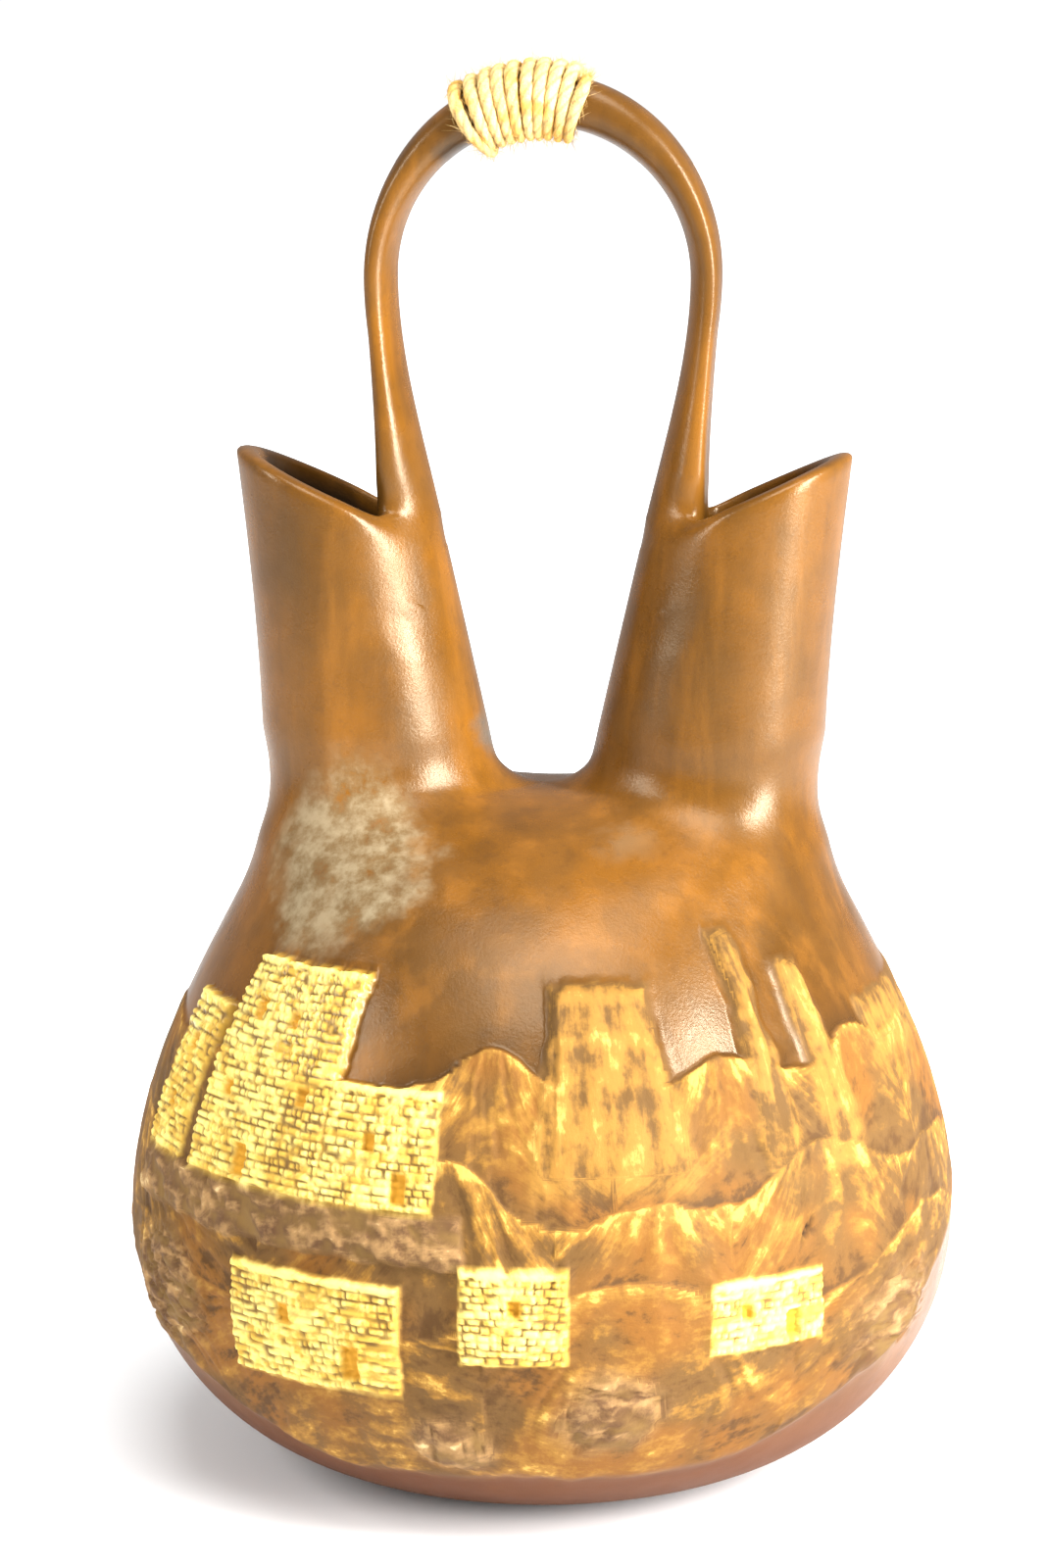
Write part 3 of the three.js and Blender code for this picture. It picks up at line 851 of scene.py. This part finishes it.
# where the clay was worked smooth: the handle's roots and the spouts' base
worked = {
    "jointLevels": (166 * mm, 216 * mm),
    "jointSides": (12 * mm, 46 * mm),
    "jointSpan": 9 * mm,
    "jointShare": 0.6,
    "jointPasses": 26,
    "waistSpan": 12 * mm,
    "waistShare": 0.5,
    "waistPasses": 40,
    "forkHalf": 9 * mm,
    "carvedBelow": 124 * mm,
}


def smoothJoints(piece, shellTree, handleTree):
    bm = bmesh.new()
    bm.from_mesh(piece.data)
    bm.verts.ensure_lookup_table()
    joint = np.zeros(len(bm.verts))
    waist = np.zeros(len(bm.verts))
    lowest, highest = worked["jointLevels"]
    nearest, farthest = worked["jointSides"]
    fork = worked["forkHalf"]
    for n, vert in enumerate(bm.verts):
        x, y, z = vert.co
        if lowest < z < highest and nearest < abs(x) < farthest:
            away = max(tree.find_nearest(vert.co)[3] for tree in (shellTree, handleTree))
            joint[n] = worked["jointShare"] * eased(1 - away / worked["jointSpan"])
            # the line down the fork stays as it is
            spine, section = rootSpine(z)
            behind = abs(x) - spine + section[0] / 2 - section[2] * y * y
            joint[n] *= eased(max(behind / (2.4 * mm), (abs(y) - fork) / (4 * mm)))
        away = abs(z - vase["waistAt"]) / worked["waistSpan"]
        if away < 1 and abs(x) > fork:
            waist[n] = worked["waistShare"] * eased(1.4 - 1.4 * away)
            waist[n] *= eased((abs(x) - fork) / (6 * mm))
    relax(bm, joint, worked["jointPasses"])
    relax(bm, waist, worked["waistPasses"])
    layers = [bm.verts.layers.float[name] for name in maskNames if name != "inner"]
    for vert in bm.verts:
        if vert.co.z > worked["carvedBelow"]:
            for layer in layers:
                vert[layer] = 0
    bm.to_mesh(piece.data)
    print("joint points", int((joint > 0).sum()), int((waist > 0).sum()))


def makeVase():
    shell = makeShell()
    shellTree = BVHTree.FromBMesh(shell)
    arch = makeHandle()
    handleTree = BVHTree.FromBMesh(arch)
    body = objectFrom(shell, "wedding_vase")
    cutter = objectFrom(arch, "handle_blank")
    join = body.modifiers.new("join", "BOOLEAN")
    join.operation = "UNION"
    join.solver = "EXACT"
    join.object = cutter
    applyModifiers(body)
    bpy.data.objects.remove(cutter)
    smoothJoints(body, shellTree, handleTree)
    for polygon in body.data.polygons:
        polygon.use_smooth = True
    return body


body = makeVase()
print("vase made", len(body.data.polygons))

# the jute cord wound round the handle
binding = {
    "radius": 1.35 * mm,
    "pitch": 2.5 * mm,
    "turns": 9,
    "ringRadius": 33 * mm,
    "offset": -4.2 * mm,
    "clearance": 0.35 * mm,
    "firstTurn": 0.34,
    "lastTurn": 9.93,
    "endSwings": [(9.1, 0.35, 0.8 * mm), (9.5, 0.36, -2.8 * mm)],
    "plyTwist": 3.1,
    "fibres": 1500,
    "seed": 5,
}


def cordCentre(turns):
    quarter = math.pi / 4 * (handle["halfSpan"] + handle["rise"])
    middle = 1 - binding["offset"] / quarter
    along = (turns - (binding["turns"] + 1) / 2) * binding["pitch"]
    for start, over, shift in binding["endSwings"]:
        along += shift * eased((turns - start) / over)
    along -= 0.5 * mm * eased((0.6 - turns) / 0.2)
    along += 0.12 * mm * math.sin(turns * 5.1) + 0.1 * mm * math.sin(turns * 2.3 + 1)
    share = middle + along / quarter
    before, after = archPoint(share - 0.01), archPoint(share + 0.01)
    dx, dz = after[0] - before[0], after[1] - before[1]
    size = math.hypot(dx, dz)
    outward = (dz / size, -dx / size)
    section = blendSection(handle["strap"], handle["grip"], smooth(1 - abs(1 - share)))
    thickness, width, curl = section
    lift = binding["clearance"] + binding["radius"]
    lift += 1.3 * mm * eased((turns - 9.5) / 0.25) - 0.15 * mm * math.sin(turns * 3.7) ** 2
    phase = 2 * math.pi * turns
    shaped = lambda v: math.copysign(abs(v) ** 0.92, v)
    across = shaped(math.cos(phase)) * (width / 2 + lift)
    out = shaped(math.sin(phase)) * (thickness / 2 + lift) + curl * across**2
    point = archPoint(share)
    return Vector((point[0] + outward[0] * out, across, point[1] + outward[1] * out))


def makeBinding():
    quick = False
    steps = 300 if quick else 1000
    around = 16 if quick else 26
    rng = np.random.default_rng(binding["seed"])
    turns = np.linspace(binding["firstTurn"], binding["lastTurn"], steps)
    centres = [cordCentre(t) for t in turns]
    points = np.zeros((steps, around + 1, 3))
    groove = np.zeros((steps, around + 1))
    stain = np.zeros((steps, around + 1))
    length = 0
    frames = []
    for i, centre in enumerate(centres):
        before, after = centres[max(0, i - 1)], centres[min(steps - 1, i + 1)]
        along = (after - before).normalized()
        if i:
            length += (centre - centres[i - 1]).length
        arm = centre - Vector((0, 0, handle["springAt"]))
        reached = Vector((arm.x, 0, arm.z))
        outward = (arm - reached.normalized() * binding["ringRadius"]).normalized()
        sideways = along.cross(outward).normalized()
        outward = sideways.cross(along).normalized()
        frames.append((centre, along, sideways, outward))
        crowd = reached.length / binding["ringRadius"]
        squash = min(1.0, 0.96 * crowd * binding["pitch"] / (2 * binding["radius"]))
        taper = min(1.0, 0.62 + 0.5 * min(i, steps - 1 - i) / (steps * 0.012))
        for j in range(around + 1):
            angle = 2 * math.pi * (j % around) / around
            twist = length / (binding["plyTwist"] * mm) * 2 * math.pi / 3
            lobe = abs(math.cos(1.5 * (angle + twist)))
            size = binding["radius"] * taper * (0.93 + 0.08 * lobe**0.6)
            rough = float(grain(np.array(length / (0.7 * mm)), np.array(angle * 3.0), 5))
            size *= 1 + 0.1 * rough
            offset = sideways * math.cos(angle) * squash + outward * math.sin(angle)
            points[i, j] = centre + offset * size
            # painted shade: the groove mask darkens the cord between its plies
            groove[i, j] = 1 - lobe
            ends = min(turns[i] - turns[0], turns[-1] - turns[i])
            stain[i, j] = max(0, 1 - ends / 1.1)
    bm = bmesh.new()
    addMasks(bm, ("groove", "stain"))
    laySheet(bm, points, {"groove": groove, "stain": stain})
    bmesh.ops.remove_doubles(bm, verts=bm.verts, dist=1e-7)
    for atStart in (True, False):
        middle = centres[0] if atStart else centres[-1]
        fillAt(bm, lambda co: (co - middle).length < 3 * mm)
    # loose fibres stand off the cord, most of them at its two ends
    for n in range(60 if quick else binding["fibres"]):
        tail = n % 5 == 0
        if tail:
            i = int(rng.integers(0, 8)) if n % 2 else steps - 1 - int(rng.integers(0, 10))
        else:
            i = int(rng.integers(4, steps - 4))
        centre, along, sideways, outward = frames[i]
        angle = rng.uniform(-0.4, math.pi + 0.4)
        side = sideways * math.cos(angle) + outward * math.sin(angle)
        root = centre + side * binding["radius"] * 0.9
        aheadness = rng.uniform(0.4, 1.6) * (1 if rng.random() < 0.5 else -1)
        if tail:
            root = centre + side * binding["radius"] * rng.uniform(0, 0.8)
            aheadness = -3 if i < steps / 2 else 3
        lean = (side * rng.uniform(0.25, 1) + along * aheadness).normalized()
        bend = (sideways * rng.uniform(-1, 1) + outward * rng.uniform(-0.6, 0.8)) * 0.35
        size = rng.uniform(1.2, 3.4) * mm
        stages = 4
        cornerRings = []
        for k in range(stages + 1):
            share = k / stages
            spot = root + lean * size * share + bend * size * share**2
            thick = 0.055 * mm * (1 - share * 0.85)
            ring = []
            for c in range(3):
                turn = 2 * math.pi * c / 3
                aside = sideways * thick * math.cos(turn)
                ring.append(bm.verts.new(spot + aside + outward * thick * math.sin(turn)))
            cornerRings.append(ring)
        for low, high in zip(cornerRings, cornerRings[1:]):
            for c in range(3):
                bm.faces.new((low[c], low[(c + 1) % 3], high[(c + 1) % 3], high[c]))
        bm.faces.new(cornerRings[0][::-1])
        bm.faces.new(cornerRings[-1])
    bmesh.ops.recalc_face_normals(bm, faces=bm.faces)
    return objectFrom(bm, "jute_binding")


cord = makeBinding()
print("binding made", len(cord.data.polygons))


class Nodes:
    def __init__(self, tree):
        self.tree = tree

    # each input gets a socket or a plain value
    def feed(self, node, feeds):
        for key, source in dict(feeds).items():
            if isinstance(source, (int, float, tuple)):
                node.inputs[key].default_value = source
            else:
                self.tree.links.new(source, node.inputs[key])
        return node

    def add(self, kind, feeds=(), **settings):
        node = self.tree.nodes.new(kind)
        for key, value in settings.items():
            setattr(node, key, value)
        return self.feed(node, feeds)

    def math(self, operation, a, b):
        return self.add("ShaderNodeMath", {0: a, 1: b}, operation=operation).outputs[0]

    def times(self, a, b):
        return self.math("MULTIPLY", a, b)

    def most(self, *values):
        top = values[0]
        for value in values[1:]:
            top = self.math("MAXIMUM", top, value)
        return top

    def total(self, value, *rows):
        for extra, amount in rows:
            value = self.math("ADD", value, self.times(extra, amount))
        return value

    def ramp(self, value, low, high):
        feeds = {"Value": value, "From Min": low, "From Max": high}
        return self.add("ShaderNodeMapRange", feeds, interpolation_type="SMOOTHSTEP").outputs[0]

    def line(self, value, low, high):
        feeds = {"Value": value, "To Min": low, "To Max": high}
        return self.add("ShaderNodeMapRange", feeds).outputs[0]

    def blend(self, share, a, b):
        return self.add("ShaderNodeMix", {0: share, 6: a, 7: b}, data_type="RGBA").outputs[2]

    # each row lays a colour over the last, where its mask says so and at its strength
    def wash(self, colour, *rows):
        for share, amount, tint in rows:
            colour = self.blend(self.times(share, amount), colour, srgb(*tint))
        return colour

    # a colour that goes through shades as a value rises
    def shades(self, value, colour, *steps):
        for low, high, shade in steps:
            colour = self.blend(self.ramp(value, low, high), colour, shade)
        return colour

    def noise(self, vector, scale, detail=3, rough=0.55, stretch=None):
        if stretch:
            squeeze = {"Vector": vector, "Scale": stretch}
            vector = self.add("ShaderNodeMapping", squeeze).outputs[0]
        feeds = {"Vector": vector, "Scale": scale, "Detail": detail, "Roughness": rough}
        return self.add("ShaderNodeTexNoise", feeds).outputs["Fac"]

    def bump(self, height, strength, distance, shader):
        feeds = {"Height": height, "Strength": strength, "Distance": distance}
        self.feed(shader, {"Normal": self.add("ShaderNodeBump", feeds).outputs[0]})

    def mask(self, name):
        return self.add("ShaderNodeAttribute", attribute_name=name).outputs["Fac"]

    # the centre, radius and softness are in millimetres
    def spot(self, place, centre, radius, soft, wobble):
        feeds = {0: place, 1: tuple(v * mm for v in centre)}
        away = self.add("ShaderNodeVectorMath", feeds, operation="DISTANCE").outputs["Value"]
        away = self.total(away, (wobble, soft * mm))
        return self.ramp(away, (radius + soft) * mm, (radius - soft * 0.2) * mm)


def srgb(r, g, b):
    linear = [(c / 255 / 12.92 if c <= 10 else ((c / 255 + 0.055) / 1.055) ** 2.4) for c in (r, g, b)]
    return (*linear, 1.0)


# a shared effect: slow clouding with fine specks, from 0 to 1
def makeClouding():
    group = bpy.data.node_groups.new("clouding", "ShaderNodeTree")
    sockets = [("Vector", "INPUT", "Vector"), ("Scale", "INPUT", "Float")]
    sockets += [("Cloud", "OUTPUT", "Float"), ("Speck", "OUTPUT", "Float")]
    for name, way, kind in sockets:
        group.interface.new_socket(name, in_out=way, socket_type="NodeSocket" + kind)
    nodes = Nodes(group)
    given = nodes.add("NodeGroupInput")
    result = nodes.add("NodeGroupOutput")
    vector, scale = given.outputs["Vector"], given.outputs["Scale"]
    cloud = nodes.noise(vector, scale, detail=4, rough=0.6)
    speck = nodes.noise(vector, nodes.times(scale, 22), detail=2, rough=0.7)
    feeds = {"Cloud": nodes.ramp(cloud, 0.32, 0.68), "Speck": nodes.ramp(speck, 0.35, 0.7)}
    nodes.feed(result, feeds)
    return group


clouding = makeClouding()


def newMaterial(name):
    material = bpy.data.materials.new(name)
    material.use_nodes = True
    nodes = Nodes(material.node_tree)
    shader = material.node_tree.nodes["Principled BSDF"]
    place = nodes.add("ShaderNodeTexCoord").outputs["Object"]
    return material, nodes, shader, place


def cloudAt(nodes, place, scale):
    node = nodes.add("ShaderNodeGroup", node_tree=clouding)
    nodes.feed(node, {"Vector": place, "Scale": scale})
    return node.outputs["Cloud"], node.outputs["Speck"]


# each spot's centre, radius and softness in millimetres; the stains' strength and colour too
wear = {
    "scuff": ((-37, -34, 129), 18, 7),
    "stains": [
        ((-8, -1, 149), 6, 6, 0.75, (76, 76, 70)),
        ((17, -28, 136), 5, 9, 0.4, (112, 98, 76)),
        ((-17.5, -4, 262.5), 4.5, 3, 0.8, (34, 26, 20)),
    ],
}


def makeClay():
    material, nodes, shader, place = newMaterial("burnished_clay")
    cloud, speck = cloudAt(nodes, place, 26)
    smudge, grit = cloudAt(nodes, place, 75)
    streaks = nodes.noise(place, 110, detail=5, stretch=(1, 1, 0.16))
    height = nodes.add("ShaderNodeSeparateXYZ", {0: place}).outputs["Z"]

    colour = nodes.blend(cloud, srgb(79, 49, 12), srgb(113, 70, 16))
    # darker, redder clay towards the bottom: the bare base's own colour, with painted shade on the
    # underside
    low = nodes.ramp(height, 44 * mm, 12 * mm)
    sooty = nodes.times(nodes.mask("soot"), nodes.ramp(smudge, 1.0, 0.1))
    colour = nodes.wash(
        colour,
        (smudge, 0.4, (84, 56, 22)),
        (nodes.ramp(streaks, 0.48, 0.72), 0.42, (138, 88, 27)),
        (nodes.ramp(streaks, 0.46, 0.3), 0.4, (70, 44, 16)),
        (low, 0.85, (88, 46, 26)),
        (nodes.ramp(speck, 0.8, 1.0), 0.16, (62, 40, 20)),
        (sooty, 0.75, (58, 38, 18)),
    )

    # the landscape's colours: gold paint lighter on what stands out and brown clay darker in the
    # hollows, the paint's own colours with painted highlight and painted shade laid on them
    lie = {"X": nodes.mask("across"), "Y": nodes.mask("along")}
    lie = nodes.add("ShaderNodeCombineXYZ", lie).outputs[0]
    strokes = nodes.noise(lie, 1000, detail=5, rough=0.65, stretch=(1.1, 0.5, 1))
    broad = nodes.noise(lie, 1000, detail=3, rough=0.55, stretch=(0.24, 0.08, 1))
    mottle = nodes.noise(place, 260, detail=6, rough=0.7)
    patchy = nodes.total(
        nodes.math("SUBTRACT", nodes.mask("fine"), 0.22),
        (nodes.ramp(strokes, 0.3, 0.7), 0.2),
        (nodes.ramp(mottle, 0.34, 0.66), 0.26),
        (nodes.ramp(broad, 0.35, 0.65), 0.34),
        (cloud, -0.2),
    )
    tone = nodes.noise(place, 34, detail=2)
    middle = nodes.blend(nodes.ramp(tone, 0.42, 0.6), srgb(92, 64, 28), srgb(117, 74, 23))
    tan, gold = srgb(138, 97, 35), srgb(192, 150, 70)
    steps = [(0.1, 0.5, middle), (0.55, 0.95, tan), (0.9, 1.15, gold)]
    earthy = nodes.shades(patchy, srgb(70, 44, 16), *steps)
    steps = [(0.2, 0.75, srgb(140, 99, 38)), (0.8, 1.2, srgb(194, 154, 76))]
    rocky = nodes.shades(patchy, srgb(88, 60, 24), *steps)
    steps = [(0.3, 0.9, srgb(146, 112, 70)), (0.85, 1.2, srgb(208, 180, 128))]
    dusky = nodes.shades(patchy, srgb(84, 56, 34), *steps)
    stony = nodes.shades(patchy, srgb(206, 164, 66), (0.45, 1.1, srgb(244, 220, 122)))
    colour = nodes.blend(nodes.times(nodes.mask("earth"), 0.94), colour, earthy)
    paints = {
        "cliff": rocky,
        "dark": dusky,
        "stone": stony,
        "crevice": srgb(110, 82, 42),
        "hole": srgb(186, 134, 34),
        # painted shade: the gouge's cut is near black
        "gouge": srgb(34, 22, 12),
    }
    for name, paint in paints.items():
        colour = nodes.blend(nodes.mask(name), colour, paint)

    # a scuffed grey-brown patch at the left neck's base, and smaller stains
    scuff = nodes.spot(place, *wear["scuff"], smudge)
    smears = nodes.noise(place, 170, detail=6, rough=0.65)
    scuff = nodes.times(scuff, nodes.ramp(smears, 0.3, 0.46))
    scuffed = nodes.blend(nodes.ramp(smears, 0.4, 0.66), srgb(100, 80, 50), srgb(142, 128, 100))
    colour = nodes.blend(nodes.times(scuff, 0.8), colour, scuffed)
    for centre, radius, soft, amount, tint in wear["stains"]:
        colour = nodes.wash(colour, (nodes.spot(place, centre, radius, soft, smudge), amount, tint))
    # painted shade: the cavity's walls below the rim are near black
    colour = nodes.blend(nodes.mask("inner"), colour, srgb(9, 6, 5))

    duller = [nodes.mask(name) for name in ("earth", "dark", "cliff", "inner")]
    dull = nodes.most(*duller, scuff, nodes.times(low, 0.8))
    rough = nodes.total(nodes.line(dull, 0.25, 0.72), (smudge, 0.08))
    feeds = {"Base Color": colour, "Roughness": rough, "Specular IOR Level": 0.38}
    nodes.feed(shader, feeds | {"Specular Tint": srgb(255, 236, 206)})

    hammered = nodes.noise(place, 130, detail=3)
    painted = nodes.times(strokes, nodes.mask("earth"))
    rows = [(grit, 0.12), (painted, 0.9), (nodes.times(smears, scuff), 0.5)]
    surface = nodes.total(hammered, *rows)
    nodes.bump(surface, 0.24, 0.5 * mm, shader)
    return material


def makeJute():
    material, nodes, shader, place = newMaterial("jute")
    cloud, speck = cloudAt(nodes, place, 160)
    colour = nodes.blend(cloud, srgb(208, 166, 92), srgb(240, 208, 136))
    warm = cloudAt(nodes, place, 150)[0]
    colour = nodes.wash(
        colour,
        (speck, 0.4, (252, 234, 180)),
        (nodes.ramp(warm, 0.5, 0.95), 0.7, (226, 170, 62)),
        # painted shade between the plies
        (nodes.ramp(nodes.mask("groove"), 0.35, 0.95), 0.6, (140, 96, 44)),
        (nodes.times(nodes.mask("stain"), nodes.ramp(speck, 0.2, 0.7)), 0.55, (96, 58, 26)),
    )
    nodes.feed(shader, {"Base Color": colour, "Roughness": 0.78, "Specular IOR Level": 0.3})
    strands = nodes.noise(place, 2000, detail=5, rough=0.7, stretch=(1, 1, 0.6))
    nodes.bump(strands, 1, 0.45 * mm, shader)
    return material


body.data.materials.clear()
body.data.materials.append(makeClay())
cord.data.materials.clear()
cord.data.materials.append(makeJute())
print("materials made")

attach(body, "root")
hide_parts("vase_body")
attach(cord, "root")
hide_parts("handle_binding")

# a white floor, a white surround and soft lights, the strongest from the right
studio = {
    "floorSize": 6.0,
    "white": (0.94, 0.94, 0.94, 1),
    "world": 0.4,
    "backdrop": 1.05,
    "glow": (0.12, 0.6),
    "aim": 140 * mm,
}
# azimuth and elevation in degrees, distance, width and height in metres, power
lights = {
    "right_light": (62, 20, 1.1, 0.2, 0.9, 48),
    "left_light": (-66, 25, 1.3, 0.2, 0.9, 11),
    "top_light": (10, 70, 1.5, 0.9, 0.9, 23),
}


def makeStudio():
    bm = bmesh.new()
    bmesh.ops.create_grid(bm, x_segments=1, y_segments=1, size=studio["floorSize"] / 2)
    floor = objectFrom(bm, "floor")
    material, nodes, shader, place = newMaterial("white_floor")
    away = nodes.add("ShaderNodeVectorMath", {0: place}, operation="LENGTH").outputs["Value"]
    seen = nodes.add("ShaderNodeLightPath").outputs["Is Camera Ray"]
    glow = nodes.times(nodes.ramp(away, *studio["glow"]), seen)
    nodes.feed(shader, {"Base Color": studio["white"], "Roughness": 0.9})
    nodes.feed(shader, {"Specular IOR Level": 0.1})
    nodes.feed(shader, {"Emission Color": (1, 1, 1, 1), "Emission Strength": glow})
    floor.data.materials.append(material)

    world = bpy.data.worlds.new("white")
    world.use_nodes = True
    nodes = Nodes(world.node_tree)
    seen = nodes.add("ShaderNodeLightPath").outputs["Is Camera Ray"]
    strength = nodes.line(seen, studio["world"], studio["backdrop"])
    background = world.node_tree.nodes["Background"]
    nodes.feed(background, {"Color": (1, 1, 1, 1), "Strength": strength})
    bpy.context.scene.world = world
    bpy.context.scene.view_settings.view_transform = "Standard"


def areaLight(name, azimuth, elevation, distance, wide, tall, power):
    data = bpy.data.lights.new(name, "AREA")
    data.shape = "RECTANGLE"
    data.size = wide
    data.size_y = tall
    data.energy = power
    target = Vector((0, 0, studio["aim"]))
    aimed(name, data, target, direction(azimuth, elevation), distance)


makeStudio()
for name, settings in lights.items():
    areaLight(name, *settings)
print("studio made")
